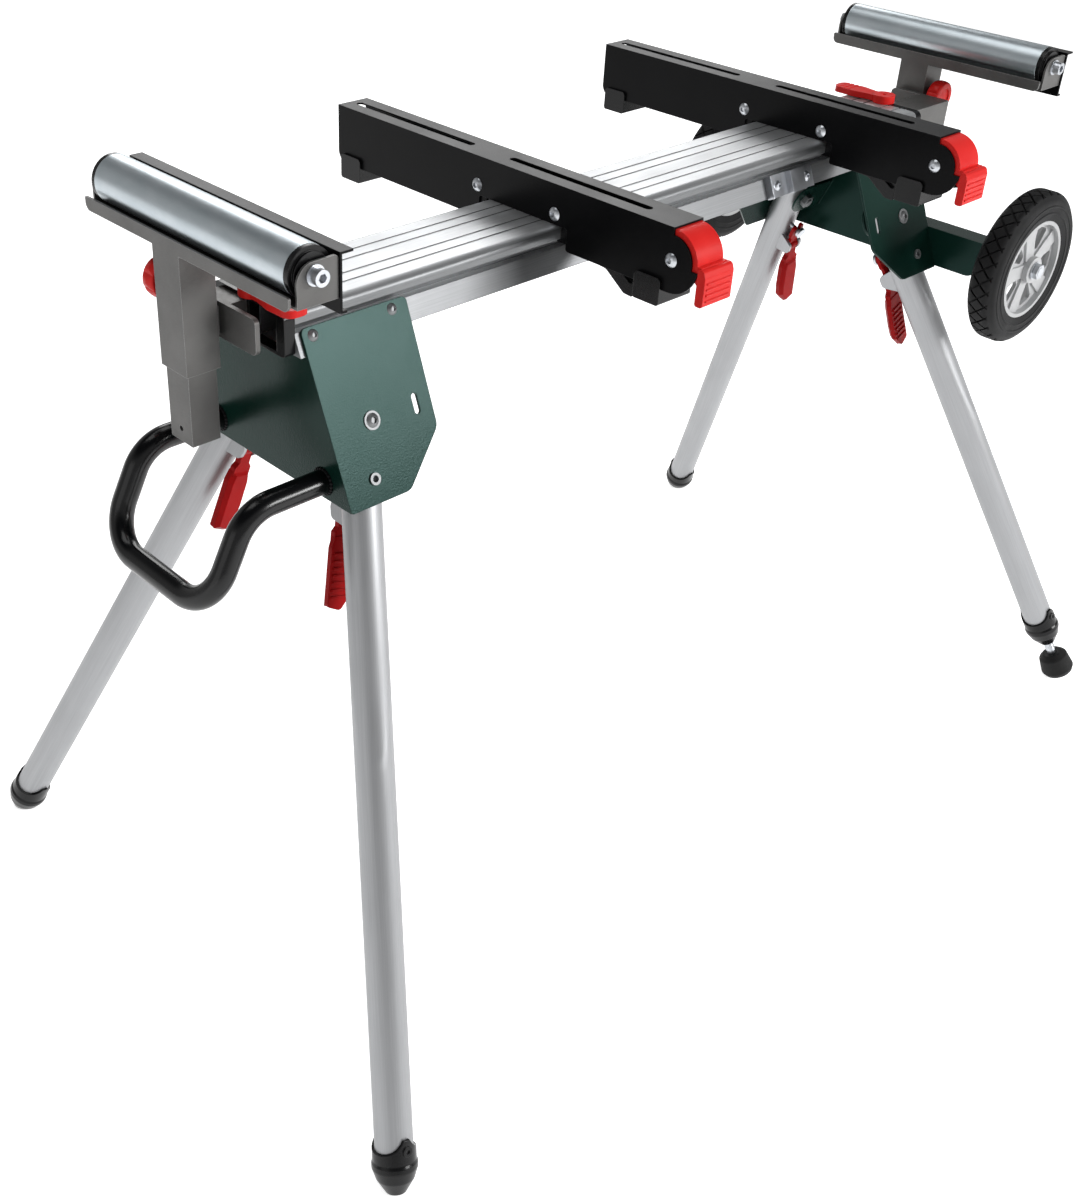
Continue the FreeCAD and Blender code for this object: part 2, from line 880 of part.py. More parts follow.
def make_foot_moulding(top):
    # Straight mouth, ridge and rounded end, scooped at both sides, with a screw at the front
    mouth = foot_radius - foot_ridge
    ridge = top - foot_ridge_drop
    end = top - foot_length
    body = revolved([
        (0, top, 0),
        (mouth, top, 1.0),
        (mouth, ridge, 2.0),
        (foot_radius, ridge - 3.0, 1.5),
        (foot_radius, ridge - 8.0, 6.0),
        (foot_radius - 4.0, ridge - 20.0, 8.0),
        (foot_end_radius, end, 4.0),
        (0, end, 0),
    ])
    axis = V(0, 0, 1)
    reach = 3 * foot_radius
    scoop_y = top - foot_scoop_depth + foot_scoop_radius
    scoops = []
    for side in (1, -1):
        start = V(side * (foot_radius + 6.0), scoop_y, -reach)
        scoops.append(rod(start, axis, foot_scoop_radius, 2 * reach))
    seat = V(0, top - foot_screw_drop, mouth - 2.0)
    screw = rod(seat, axis, foot_screw_radius, 3.2)
    socket = hexagon(seat + axis * 1.8, axis, foot_screw_radius * 0.8, 4.0)
    room_start = V(0, top - foot_socket, 0)
    tube_room = rod(room_start, V(0, 1, 0), leg_radius, 2 * foot_socket)
    return cut(join([body, screw]), scoops + [socket, tube_room])


def make_foot(lean):
    foot = make_foot_moulding(foot_height - leg_reach(lean))
    return placed(foot, leg_place(lean)).cut(below_floor())


def make_levelling_cap(lean):
    end = levelling_cap_end - leg_reach(lean)
    cap = make_foot_moulding(end + foot_length)
    stem_hole = rod(V(0, end - 1, 0), V(0, 1, 0), stem_radius + running_gap, foot_length - foot_socket + 2)
    return placed(cap.cut(stem_hole), leg_place(lean))


def stem_foot(lean):
    return rubber_height * 0.62 - leg_reach(lean)


def make_levelling_stem(lean):
    stem = rod(V(0, stem_foot(lean), 0), V(0, 1, 0), stem_radius, stem_length)
    return placed(stem, leg_place(lean))


def make_levelling_rubber(lean):
    # Its tilted end meets the floor at one edge, with a small flat
    slope = leg_slope(lean)
    rim = rubber_radius - rubber_chamfer / 2
    rim_rise = rim * math.sqrt(1 - slope * slope) / slope
    top = rubber_height - leg_reach(lean)
    end = rim_rise - rubber_flat - leg_reach(lean)
    rubber = revolved([
        (0, top, 0),
        (rubber_radius - rubber_taper - rubber_chamfer, top, 2.0),
        (rubber_radius - rubber_taper, top - rubber_chamfer, 3.0),
        (rubber_radius, end + rubber_chamfer, 3.0),
        (rim, end, 1.5),
        (0, end, 0),
    ])
    hole = rod(V(0, stem_foot(lean), 0), V(0, 1, 0), stem_radius, stem_length)
    return placed(rubber.cut(hole), leg_place(lean)).cut(below_floor())


# Tool arms, made at x = 0 and moved into place

def make_arm_bar():
    half = arm_width / 2
    notch_top = beam_top + sliding_gap
    corners = [
        (arm_back, arm_top, arm_corner),
        (arm_back, arm_bottom, arm_back_corner),
        (arm_notch_half, arm_bottom, arm_corner),
        (arm_notch_half, notch_top, arm_corner),
        (-arm_notch_half, notch_top, arm_corner),
        (-arm_notch_half, arm_bottom, arm_corner),
        (-arm_nose, arm_bottom, 0),
        (-arm_nose, arm_top, 0),
    ]
    sides = []
    for x0 in (-half, half - arm_sheet):
        sides.append(profile_yz(corners, x0, x0 + arm_sheet))
        sides.append(rod(V(x0, -arm_nose, arm_nose_z), V(1, 0, 0), arm_nose_radius, arm_sheet))
    top = block(-half, half, -arm_nose - arm_sheet, arm_back, arm_top - arm_sheet, arm_top)
    body = join(sides + [top, make_arm_hook()])
    holes = [arm_slot(arm_back_slot), arm_slot(arm_front_slot), make_nose_cut()]
    for y, z in arm_bolt_points():
        holes.append(rod(V(-arm_width, y, z), V(1, 0, 0), arm_bolt_radius, 2 * arm_width))
    return cut(body, holes)


def make_nose_cut():
    # Clears the sheets from the cam lever's band, which shows round the nose
    axis = V(1, 0, 0)
    start = V(-arm_width, -arm_nose, arm_nose_z)
    reach = 2 * arm_nose_radius
    ring = rod(start, axis, reach, 2 * arm_width)
    ring = ring.cut(rod(start, axis, arm_nose_radius - arm_sheet - cam_band, 2 * arm_width))
    low = arm_nose_z - nose_cut_drop
    front = block(-arm_width, arm_width, -arm_nose - reach, -arm_nose, low, arm_nose_z + reach)
    return ring.common(front)


def make_arm_hook():
    # Block between the sheets that hooks into the beam's back slot
    inside = arm_inside / 2
    near = half_beam + sliding_gap
    tip = half_beam - hook_reach
    top = slot_top - 0.5
    low = top - hook_thickness
    back = arm_notch_half + hook_body
    high = beam_top + hook_rise
    return profile_yz([
        (near, top, 0),
        (tip, top, 0),
        (tip, low, 0),
        (back, low, 4.0),
        (back, high, 4.0),
        (near, high, 0),
    ], -inside, inside)


def arm_slot(centre):
    straight = arm_slot_length - arm_slot_width
    return slot_z(0, centre, straight, arm_slot_width / 2, arm_top - 2 * arm_sheet, arm_top + arm_sheet)


def arm_bolt_points():
    high = beam_top + hook_rise / 2
    return [(half_beam + 14.0, high), (9.0 - half_beam, high), (-arm_nose, arm_nose_z)]


def make_arm_bolts():
    half = arm_width / 2
    bolts = []
    for y, z in arm_bolt_points():
        shank = rod(V(-half, y, z), V(1, 0, 0), arm_bolt_radius, arm_width + arm_bolt_tail)
        head = button_head(V(-half, y, z), V(-1, 0, 0), arm_bolt_head, arm_bolt_head_height)
        nut = hexagon(V(half, y, z), V(1, 0, 0), arm_nut_across, arm_nut_height)
        bolts.append(join([shank, head, nut]))
    return Part.makeCompound(bolts)


def make_arm_jaw():
    # Sliding jaw between the sheets, which bites into the beam's front slot
    half = moving_width / 2
    far = -arm_nose + arm_nose_radius + sliding_gap + 1.2
    tip = hook_reach - half_beam
    top = slot_top - 0.5
    low = top - hook_thickness + 0.1
    belly = arm_bottom - jaw_belly_depth
    high = arm_top - arm_sheet - jaw_below_top
    body = profile_yz([
        (jaw_near, slot_top + 10.0, 0),
        (jaw_near, top, 0),
        (tip, top, 0),
        (tip, low, 0),
        (-arm_notch_half, low, 0),
        (-arm_notch_half - 4.0, arm_bottom + 2.0, 3.0),
        (jaw_pad_face + jaw_belly_length, arm_bottom - 2.0, 8.0),
        (jaw_pad_face + jaw_belly_flat, belly + 1.0, 6.0),
        (jaw_pad_face, belly, 3.0),
        (jaw_pad_face, arm_bottom + sliding_gap, 0),
        (far, arm_bottom + sliding_gap, 4.0),
        (far, high, 4.0),
        (jaw_near - 16.0, high, 4.0),
    ], -half, half)
    recesses = []
    for x in (-half, half - jaw_recess):
        recesses.append(profile_yz([
            (jaw_near - 40.0, arm_bottom + 12.0, 4.0),
            (jaw_pad_face + jaw_belly_length - 10.0, arm_bottom + 8.0, 4.0),
            (jaw_pad_face + 1.0, arm_bottom - jaw_belly_depth / 2, 4.0),
            (jaw_pad_face + 1.0, high - 10.0, 4.0),
            (jaw_near - 40.0, high - 10.0, 4.0),
        ], x, x + jaw_recess))
    return cut(body, recesses)


def make_arm_pad(front, back):
    half = pad_width / 2
    side = arm_width / 2
    low = arm_bottom - pad_drop
    high = arm_bottom + pad_rise
    outer = profile_yz([
        (front, low, 3.0),
        (back, low, 3.0),
        (back, high, 5.0),
        (front, high, 5.0),
    ], -half, half)
    room = block(-side, side, front, back, arm_bottom, high)
    hollow = block(
        pad_wall - side, side - pad_wall,
        front + pad_wall, back - pad_wall,
        low + pad_wall, arm_bottom,
    )
    return cut(outer, [room, hollow])


def make_arm_pads():
    back_pad = make_arm_pad(back_pad_front, back_pad_back)
    front_pad = make_arm_pad(-front_pad_front, -front_pad_back)
    return Part.makeCompound([back_pad, front_pad])


def make_cam_lever():
    half = moving_width / 2
    axis = V(1, 0, 0)
    drum_radius = arm_nose_radius - arm_sheet - sliding_gap
    pivot = V(-half, -arm_nose, arm_nose_z)
    reach = 2 * arm_nose_radius
    behind = block(-reach, reach, -arm_nose + 1.5, -arm_nose + reach, arm_nose_z - reach, arm_nose_z + reach)
    below = block(-reach, reach, -arm_nose - reach, -arm_nose + reach, arm_nose_z - reach, arm_nose_z - 8.0)
    drum = rod(pivot, axis, drum_radius, moving_width)
    band = cut(drum, [rod(pivot, axis, drum_radius - cam_band, moving_width), behind, below])
    rib_start = V(-cam_rib / 2, pivot.y, pivot.z)
    rib = cut(rod(rib_start, axis, drum_radius - cam_band + 1.0, cam_rib), [behind, below])
    hub = rod(pivot, axis, cam_hub_radius, moving_width)
    whole = join([band, rib, hub] + make_cam_paddle())
    bore = rod(pivot - axis * half, axis, arm_bolt_radius + running_gap, 4 * half)
    return whole.cut(bore)


def make_cam_paddle():
    # Thumb paddle in front of the arm's nose, with the bridge that carries it
    half = moving_width / 2
    wide = arm_width / 2
    inner = -arm_nose - arm_nose_radius - cam_paddle_gap
    outer = inner - cam_paddle_thickness
    low = arm_bottom - cam_paddle_below
    bridge = profile_yz([
        (inner + 13.0, arm_nose_z + 2.0, 0),
        (inner - 2.0, arm_nose_z + 2.0, 0),
        (inner - 2.0, arm_nose_z - 20.0, 0),
        (inner + 13.0, arm_nose_z - 6.0, 0),
    ], -half, half)
    paddle = profile_yz([
        (inner, arm_nose_z + 1.0, 1.0),
        (outer + 2.7, arm_nose_z + 1.0, 4.0),
        (outer, arm_nose_z - 6.0, 6.0),
        (outer, low, 3.0),
        (inner, low, 3.0),
    ], -wide, wide)
    ribs = []
    for i in range(cam_ribs):
        z = arm_nose_z - 12.0 - cam_rib_pitch * i
        ribs.append(rod(V(4.0 - wide, outer, z), V(1, 0, 0), cam_rib_radius, arm_width - 8.0))
    return [bridge, paddle] + ribs


# Roller supports

def make_roller_channel(x, z):
    # Folded channel: floor, low lip, back wall and an ear at each end, open at the lip's corners
    half = roller_span / 2
    notch = half - roller_lip_corner - 1.0
    sheet = roller_sheet
    back = x + roller_depth
    floor = profile_xy([
        (x, -notch, 0),
        (x + ear_inset, -notch, 0),
        (x + ear_inset, -half, 0),
        (back, -half, 0),
        (back, half, 0),
        (x + ear_inset, half, 0),
        (x + ear_inset, notch, 0),
        (x, notch, 0),
    ], z, z + sheet)
    lip_top = z + roller_lip_height
    lip = profile_yz([
        (-half, z, roller_lip_corner),
        (half, z, roller_lip_corner),
        (half, lip_top, 1.5),
        (-half, lip_top, 1.5),
    ], x, x + sheet)
    wall = block(back - sheet, back, -half, half, z, lip_top)
    ears = []
    for y in (-half, half - sheet):
        ears.append(profile_xz([
            (x + ear_inset, z, 0),
            (back, z, 0),
            (back, z + ear_top, 4.0),
            (x + ear_inset, z + ear_top, ear_corner),
        ], y, y + sheet))
    return [floor, lip, wall] + ears


def make_sleeve(side):
    x = lip_x[side]
    z = lip_z[side]
    wall = sleeve_wall
    low = z - sleeve_length
    outer = block(x, x + sleeve_x, sleeve_front, sleeve_back, low, z)
    inside = block(x + wall, x + sleeve_x - wall, sleeve_front + wall, sleeve_back - wall, low, z)
    # Slot on the side of the beam, for the tongue that holds the post
    slot_half = tongue_width / 2 + tongue_play
    slot_start = {"left": x + sleeve_x - 2 * wall, "right": x - wall}[side]
    slot = block(
        slot_start, slot_start + 3 * wall,
        sleeve_centre_y - slot_half, sleeve_centre_y + slot_half,
        low, z - sleeve_slot_top,
    )
    return cut(outer, [inside, slot])


def knob_side(side):
    return {"left": 1, "right": -1}[side]


def knob_seat(side):
    # Point where the knob's axis leaves the sleeve, and its outward direction
    out = knob_side(side)
    face = sleeve_centre_y + out * sleeve_y / 2
    return V(lip_x[side] + sleeve_x / 2, face, lip_z[side] - knob_drop), V(0, out, 0)


def roller_axis(side, y):
    return V(lip_x[side] + roller_axis_in, y, lip_z[side] + roller_axis_up)


def make_roller_bracket(side):
    seat, out = knob_seat(side)
    boss = rod(seat - out * (sleeve_wall / 2), out, knob_boss_radius, knob_boss + sleeve_wall / 2)
    channel = make_roller_channel(lip_x[side], lip_z[side])
    axle_hole = rod(roller_axis(side, -roller_span), V(0, 1, 0), roller_axle_radius, 2 * roller_span)
    screw_start = seat - out * (2 * sleeve_wall)
    screw_hole = rod(screw_start, out, knob_screw_radius + running_gap, 3 * sleeve_wall + knob_boss)
    return cut(join(channel + [make_sleeve(side), boss]), [axle_hole, screw_hole])


def make_stop_plate(side):
    x = lip_x[side] + roller_depth
    half = roller_span / 2 + stop_plate_overhang
    sheet = stop_plate_sheet
    low = lip_z[side] - stop_plate_drop
    top = lip_z[side] + stop_plate_rise
    wall = block(x, x + sheet, -half, half, low, top)
    flange = block(x, x + sheet + stop_plate_flange, -half, half, top - sheet, top)
    foot = block(x, x + sheet + stop_plate_foot, -half, half, low, low + sheet)
    return join([wall, flange, foot])


def make_roller_axle(side):
    half = roller_span / 2
    axis = V(0, 1, 0)
    front = roller_axis(side, -half)
    back = roller_axis(side, half)
    tail = axle_nut_height + 1.0
    bar = rod(front, axis, roller_axle_radius, roller_span + tail)
    washer = rod(front, -axis, axle_washer_radius, axle_washer)
    head = rod(front, -axis, axle_head_radius, axle_washer + axle_head_height)
    socket_start = front - axis * (axle_washer + axle_head_height * 0.45)
    socket = hexagon(socket_start, -axis, axle_head_radius, axle_head_height)
    nut = hexagon(back, axis, axle_nut_across, axle_nut_height)
    return join([bar, washer, head, nut]).cut(socket)


def make_roller_tube(side):
    axis = V(0, 1, 0)
    start = roller_axis(side, -roller_tube_half)
    length = 2 * roller_tube_half
    outer = rod(start, axis, roller_radius, length)
    return outer.cut(rod(start, axis, roller_radius - roller_wall, length))


def make_roller_caps(side):
    caps = []
    nose = roller_end_gap - roller_cap_play
    for out in (1, -1):
        axis = V(0, out, 0)
        end = roller_axis(side, out * roller_tube_half)
        flange = rod(end, axis, roller_radius - roller_cap_play, roller_cap_flange)
        step = rod(end, axis, roller_radius - 5.0, roller_cap_step)
        hub = rod(end, axis, 2 * roller_axle_radius, nose)
        plug = rod(end - axis * roller_cap_plug, axis, roller_radius - roller_wall, roller_cap_plug)
        bore_start = end - axis * (2 * roller_cap_plug)
        bore = rod(bore_start, axis, roller_axle_radius + running_gap, 4 * roller_cap_plug)
        caps.append(join([flange, step, hub, plug]).cut(bore))
    return Part.makeCompound(caps)


def make_knob(side):
    # Turned about the Y axis at the origin, then set on the sleeve
    axis = V(0, 1, 0)
    envelope = revolved([
        (0, 0, 0),
        (knob_radius - 2.0, 0, 2.0),
        (knob_radius, knob_depth / 2, 6.0),
        (knob_radius - 1.0, knob_depth, knob_edge),
        (0, knob_depth, 0),
    ])
    lobes = []
    for i in range(knob_lobes):
        angle = 2 * math.pi * i / knob_lobes
        spoke = V(math.cos(angle), 0, math.sin(angle)) * (knob_radius - knob_lobe_radius)
        lobes.append(rod(spoke, axis, knob_lobe_radius, knob_depth))
    body = join(lobes + [rod(V(0, 0, 0), axis, knob_radius / 2, knob_depth)]).common(envelope)
    dish = rod(V(0, knob_depth - knob_dish_depth, 0), axis, knob_dish_radius, knob_dish_depth)
    stand_off = knob_boss + knob_gap
    screw_length = stand_off + sleeve_wall + sliding_gap - knob_screw_gap
    screw = rod(V(0, 2.0, 0), -axis, knob_screw_radius, screw_length + 2.0)
    knob = join([body.cut(dish), screw])
    seat, out = knob_seat(side)
    turn = FreeCAD.Rotation(axis, out)
    return placed(knob, FreeCAD.Placement(seat + out * stand_off, turn))


# Pull-out rails, each with its end plate and the post that the roller sleeve slides on

def make_rail(side):
    out = rail_out[side]
    plate_face = out * rail_plate_face[side]
    near = chamber_inner + sliding_gap
    far = chamber_outer - sliding_gap
    y0, y1 = {"left": (near, far), "right": (-far, -near)}[side]
    low = chamber_bottom + sliding_gap
    high = chamber_top - sliding_gap
    x0, x1 = sorted((plate_face - out * rail_length, plate_face))
    wall = rail_wall
    tube = block(x0, x1, y0, y1, low, high)
    tube = tube.cut(block(x0, x1, y0 + wall, y1 - wall, low + wall, high - wall))
    p0, p1 = sorted((plate_face - out * rail_plate, plate_face))
    half_tongue = tongue_width / 2
    reach = max(chamber_outer, sleeve_centre_y + half_tongue) - end_cap_inset
    plate = profile_yz([
        (-reach, low, rail_plate_corner),
        (reach, low, rail_plate_corner),
        (reach, high, rail_plate_corner),
        (-reach, high, rail_plate_corner),
    ], p0, p1)
    post_face = plate_face + out * (rail_plate_gap + sleeve_wall + sliding_gap)
    t0, t1 = sorted((plate_face, post_face + out * post_wall / 2))
    tongue_top = lowest_head - sleeve_slot_top - tongue_gap
    y_low = sleeve_centre_y - half_tongue
    tongue = block(t0, t1, y_low, y_low + tongue_width, low + tongue_rise, tongue_top)
    return join([tube, plate, tongue, make_post(side)])


def make_post(side):
    x = lip_x[side] + sleeve_x / 2
    y = sleeve_centre_y
    half_x = post_x / 2
    half_y = post_y / 2
    outer = block(x - half_x, x + half_x, y - half_y, y + half_y, post_bottom, post_top)
    half_x = half_x - post_wall
    half_y = half_y - post_wall
    bore = block(x - half_x, x + half_x, y - half_y, y + half_y, post_bottom, post_top)
    hole_start = V(x - post_x, sleeve_centre_y, post_bottom + post_hole_rise)
    return cut(outer, [bore, rod(hole_start, V(1, 0, 0), post_hole_radius, post_x)])


def make_rail_lever():
    # Clamp lever at the left end, on top of the end cap, pointing to the front
    x = -(beam_end + cap_end) / 2
    base = beam_top + sliding_gap
    top = base + rail_lever_thickness
    up = V(0, 0, 1)
    half = rail_lever_width / 2
    neck = rail_lever_neck / 2
    waist = -rail_lever_length + 32.0
    hub = rod(V(x, 0, base), up, rail_lever_hub, rail_lever_thickness + 1.5)
    arm = profile_xy([
        (x - neck + 1.0, 6.0, 0),
        (x + neck - 1.0, 6.0, 0),
        (x + neck, waist + 20.0, 0),
        (x + half, waist, 8.0),
        (x + half - 1.0, -rail_lever_length, 10.0),
        (x - half + 1.0, -rail_lever_length, 10.0),
        (x - half, waist, 8.0),
        (x - neck, waist + 20.0, 0),
    ], base + 1.0, top)
    grooves = []
    for i in range(rail_lever_grooves):
        y = -rail_lever_length + 10.0 + rail_lever_groove_pitch * i
        start = V(x - rail_lever_width, y, top + 0.8)
        grooves.append(rod(start, V(1, 0, 0), 1.6, 2 * rail_lever_width))
    tip = chamber_top + sliding_gap
    screw = rod(V(x, 0, tip), up, rail_screw_radius, base + 2.0 - tip)
    socket = hexagon(V(x, 0, top - 1.5), up, 1.5 * rail_screw_radius, 6.0)
    return cut(join([hub, arm, screw]), grooves + [socket])


# Carry handle

def make_handle():
    y = handle_half_width
    root_z = beam_top - handle_root_drop
    bar_z = beam_top - handle_bar_drop
    root_x = -bracket_reach
    bend_x = -bracket_reach - handle_bend_reach
    bar_x = -bracket_reach - handle_bar_reach
    points = [
        V(root_x, -y, root_z),
        V(bend_x, -y, root_z),
        V(bar_x, -y, bar_z),
        V(bar_x, y, bar_z),
        V(bend_x, y, root_z),
        V(root_x, y, root_z),
    ]
    outside = bent_rod(points, handle_bend_radius, handle_radius)
    inside = bent_rod(points, handle_bend_radius, handle_radius - handle_wall)
    return outside.cut(inside)


# Axle channel, axle and wheels

def make_axle_channel():
    x0 = bracket_reach
    x1 = x0 + channel_flange
    sheet = channel_sheet
    half = channel_half_length
    face = profile_yz([
        (-half, channel_top, 0),
        (half, channel_top, 0),
        (half, channel_bottom, channel_corner),
        (-half, channel_bottom, channel_corner),
    ], x0, x0 + sheet)
    top = block(x0, x1, -half, half, channel_top - sheet, channel_top)
    low_half = half - channel_corner - 1.0
    bottom = block(x0, x0 + channel_lower_flange, -low_half, low_half, channel_bottom, channel_bottom + sheet)
    end_low = axle_z - channel_end_drop
    ends = []
    for y in (-half, half - sheet):
        ends.append(profile_xz([
            (x0, channel_top, 0),
            (x1, channel_top, 0),
            (x1, end_low, channel_end_drop - 1.0),
            (x0, end_low, 0),
        ], y, y + sheet))
    axle_hole = rod(V(axle_x, -2 * half, axle_z), V(0, 1, 0), axle_radius, 4 * half)
    return join([face, top, bottom] + ends).cut(axle_hole)


def make_axle():
    half = wheel_front + axle_tail
    pieces = [rod(V(axle_x, -half, axle_z), V(0, 1, 0), axle_radius, 2 * half)]
    spacer_length = wheel_front - wheel_width - wheel_gap - channel_half_length
    washer = axle_washer
    washer_at = wheel_front + 0.6 * wheel_gap
    for out in (1, -1):
        axis = V(0, out, 0)
        spacer_at = V(axle_x, out * channel_half_length, axle_z)
        pieces.append(rod(spacer_at, axis, wheel_spacer_radius, spacer_length))
        seat = V(axle_x, out * washer_at, axle_z)
        pieces.append(rod(seat, axis, wheel_spacer_radius + 1.0, washer))
        nut_height = half - washer_at - washer - 0.5
        pieces.append(hexagon(seat + axis * washer, axis, wheel_nut_across, nut_height))
    return join(pieces)


def wheel_middle():
    return wheel_middle_y


def make_rim():
    # Built around the Y axis, then moved to the front wheel
    axis = V(0, 1, 0)
    half = wheel_width / 2 - rim_inset
    inner = rim_radius - rim_wall
    barrel = rod(V(0, -half, 0), axis, rim_radius, 2 * half)
    barrel = barrel.cut(rod(V(0, -half, 0), axis, inner, 2 * half))
    web = rod(V(0, rim_web_place, 0), axis, inner + 2.0, rim_web)
    hub_half = half + rim_inset
    hub = rod(V(0, -hub_half, 0), axis, rim_hub_radius, 2 * hub_half)
    windows = []
    spokes = []
    for i in range(wheel_spokes):
        turn = 360.0 * i / wheel_spokes
        window = make_window()
        window.rotate(V(0, 0, 0), axis, turn)
        windows.append(window)
        spoke = make_spoke(inner)
        spoke.rotate(V(0, 0, 0), axis, turn + 180.0 / wheel_spokes)
        spokes.append(spoke)
    rim = join([barrel, cut(web, windows), hub] + spokes)
    rim = rim.cut(rod(V(0, -wheel_width, 0), axis, axle_radius + running_gap, 2 * wheel_width))
    rim.translate(V(axle_x, wheel_middle_y, axle_z))
    return rim


def make_window():
    return profile_xz([
        (window_near, -window_near_half, 3.0),
        (window_far, -window_far_half, 4.0),
        (window_far, window_far_half, 4.0),
        (window_near, window_near_half, 3.0),
    ], -wheel_width / 2, wheel_width / 2)


def make_spoke(inner):
    # Broad raised face between two windows
    near = rim_hub_radius / 2
    far = inner + 2.0
    return profile_xz([
        (near, -spoke_hub_half, 0),
        (far, -spoke_rim_half, 0),
        (far, spoke_rim_half, 0),
        (near, spoke_hub_half, 0),
    ], rim_web_place - spoke_rise, rim_web_place + rim_web / 2)


def make_tyre():
    half = wheel_width / 2
    crown = wheel_radius
    shoulder = crown - tyre_shoulder
    flat = half - 0.8 * tyre_shoulder
    bead = rim_radius + 8.0
    tyre = revolved([
        (rim_radius, half - rim_inset, 0),
        (bead, half, 5.0),
        (shoulder, half, 9.0),
        (crown, flat, 8.0),
        (crown, -flat, 8.0),
        (shoulder, -half, 9.0),
        (bead, -half, 5.0),
        (rim_radius, rim_inset - half, 0),
    ])
    tyre = tyre.cut(make_tread())
    tyre.translate(V(axle_x, wheel_middle_y, axle_z))
    return tyre


def make_tread():
    # Crossing grooves, which leave rows of diamond blocks
    floor = wheel_radius - tread_depth
    top = wheel_radius + tread_depth
    half = tread_groove_width / 2
    pitch = 360.0 / tread_grooves
    grooves = []
    for skew in (tread_skew, -tread_skew):
        groove = block(floor, top, -wheel_width, wheel_width, -half, half)
        groove.rotate(V(0, 0, 0), V(1, 0, 0), skew)
        for i in range(tread_grooves):
            one = groove.copy()
            one.rotate(V(0, 0, 0), V(0, 1, 0), pitch * i)
            grooves.append(one)
    return grooves


# All nodes

nodes = {}


def add_frame():
    nodes["beam"] = make_beam()
    nodes["beam_end_caps"] = make_end_caps()
    nodes["left_bracket"] = make_bracket(left_lean)
    nodes["right_bracket"] = mirror_x(make_bracket(right_lean))
    nodes["bracket_screws"] = make_bracket_screws()
    nodes["leg_pivot_bolts"] = make_pivot_bolts()
    nodes["lock_bushes"] = make_lock_bushes()
    nodes["stop_bracket"] = make_stop_bracket()
    nodes["carry_handle"] = make_handle()
    nodes["axle_channel"] = make_axle_channel()
    nodes["wheel_axle"] = make_axle()


def add_arms():
    pieces = {
        "arm_bar": make_arm_bar(),
        "arm_jaw": make_arm_jaw(),
        "arm_pads": make_arm_pads(),
        "arm_bolts": make_arm_bolts(),
        "cam_lever": make_cam_lever(),
    }
    for side in ("left", "right"):
        for name, shape in pieces.items():
            moved = shape.copy()
            moved.translate(V(arm_centres[side], 0, 0))
            nodes[side + "_" + name] = moved


def add_extensions():
    for side in ("left", "right"):
        nodes[side + "_rail"] = make_rail(side)
        nodes[side + "_roller_bracket"] = make_roller_bracket(side)
        nodes[side + "_stop_plate"] = make_stop_plate(side)
        nodes[side + "_roller_axle"] = make_roller_axle(side)
        nodes[side + "_roller_tube"] = make_roller_tube(side)
        nodes[side + "_roller_caps"] = make_roller_caps(side)
        nodes[side + "_knob"] = make_knob(side)
    lever = make_rail_lever()
    nodes["left_rail_lever"] = lever
    nodes["right_rail_lever"] = turned(lever)


def make_leg_pieces(lean, levelled):
    place = leg_place(lean)
    if levelled:
        end_gap = levelling_cap_end + foot_length - foot_socket
        foot = make_levelling_cap(lean)
    else:
        end_gap = foot_height - foot_socket
        foot = make_foot(lean)
    return {
        "leg": placed(make_leg(lean, end_gap), place),
        "foot": foot,
        "release_lever": placed(make_release_lever(), place),
        "lock_pin": placed(make_lock_pin(), place),
    }


def add_legs():
    for side, lean in (("left", left_lean), ("right", right_lean)):
        for end in ("front", "back"):
            levelled = side == "right" and end == "front"
            for name, shape in make_leg_pieces(lean, levelled).items():
                if side == "right":
                    shape = mirror_x(shape)
                if end == "back":
                    shape = mirror_y(shape)
                nodes[side + "_" + end + "_" + name] = shape
    nodes["levelling_stem"] = mirror_x(make_levelling_stem(right_lean))
    nodes["levelling_rubber"] = mirror_x(make_levelling_rubber(right_lean))


def add_wheels():
    rim = make_rim()
    tyre = make_tyre()
    nodes["front_wheel_rim"] = rim
    nodes["front_wheel_tyre"] = tyre
    nodes["back_wheel_rim"] = mirror_y(rim)
    nodes["back_wheel_tyre"] = mirror_y(tyre)


add_frame()
add_arms()
add_extensions()
add_legs()
add_wheels()

# The middle of the whole box goes to x = 0
box = Part.makeCompound(list(nodes.values())).optimalBoundingBox(False, False)
middle_x = (box.XMin + box.XMax) / 2
for name, shape in nodes.items():
    shape.translate(V(-middle_x, 0, 0))
    shape.exportStep("parts/" + name + ".step")
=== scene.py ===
import json
import math

import bpy
from mathutils import Matrix, Vector


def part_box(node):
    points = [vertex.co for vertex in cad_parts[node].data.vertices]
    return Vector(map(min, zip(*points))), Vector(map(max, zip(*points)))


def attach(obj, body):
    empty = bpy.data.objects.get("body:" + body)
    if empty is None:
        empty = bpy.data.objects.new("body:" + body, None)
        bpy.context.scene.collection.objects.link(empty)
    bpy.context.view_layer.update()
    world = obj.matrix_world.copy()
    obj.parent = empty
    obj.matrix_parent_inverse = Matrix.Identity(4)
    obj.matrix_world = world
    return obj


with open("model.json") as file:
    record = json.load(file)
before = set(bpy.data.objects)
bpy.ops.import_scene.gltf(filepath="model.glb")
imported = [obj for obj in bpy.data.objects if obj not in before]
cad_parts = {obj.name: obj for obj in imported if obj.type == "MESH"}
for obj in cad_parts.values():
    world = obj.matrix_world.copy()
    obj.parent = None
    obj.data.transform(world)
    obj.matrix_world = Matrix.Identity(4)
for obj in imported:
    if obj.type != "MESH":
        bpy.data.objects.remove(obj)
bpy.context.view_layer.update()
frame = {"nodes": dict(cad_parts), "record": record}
nodes = frame["nodes"]

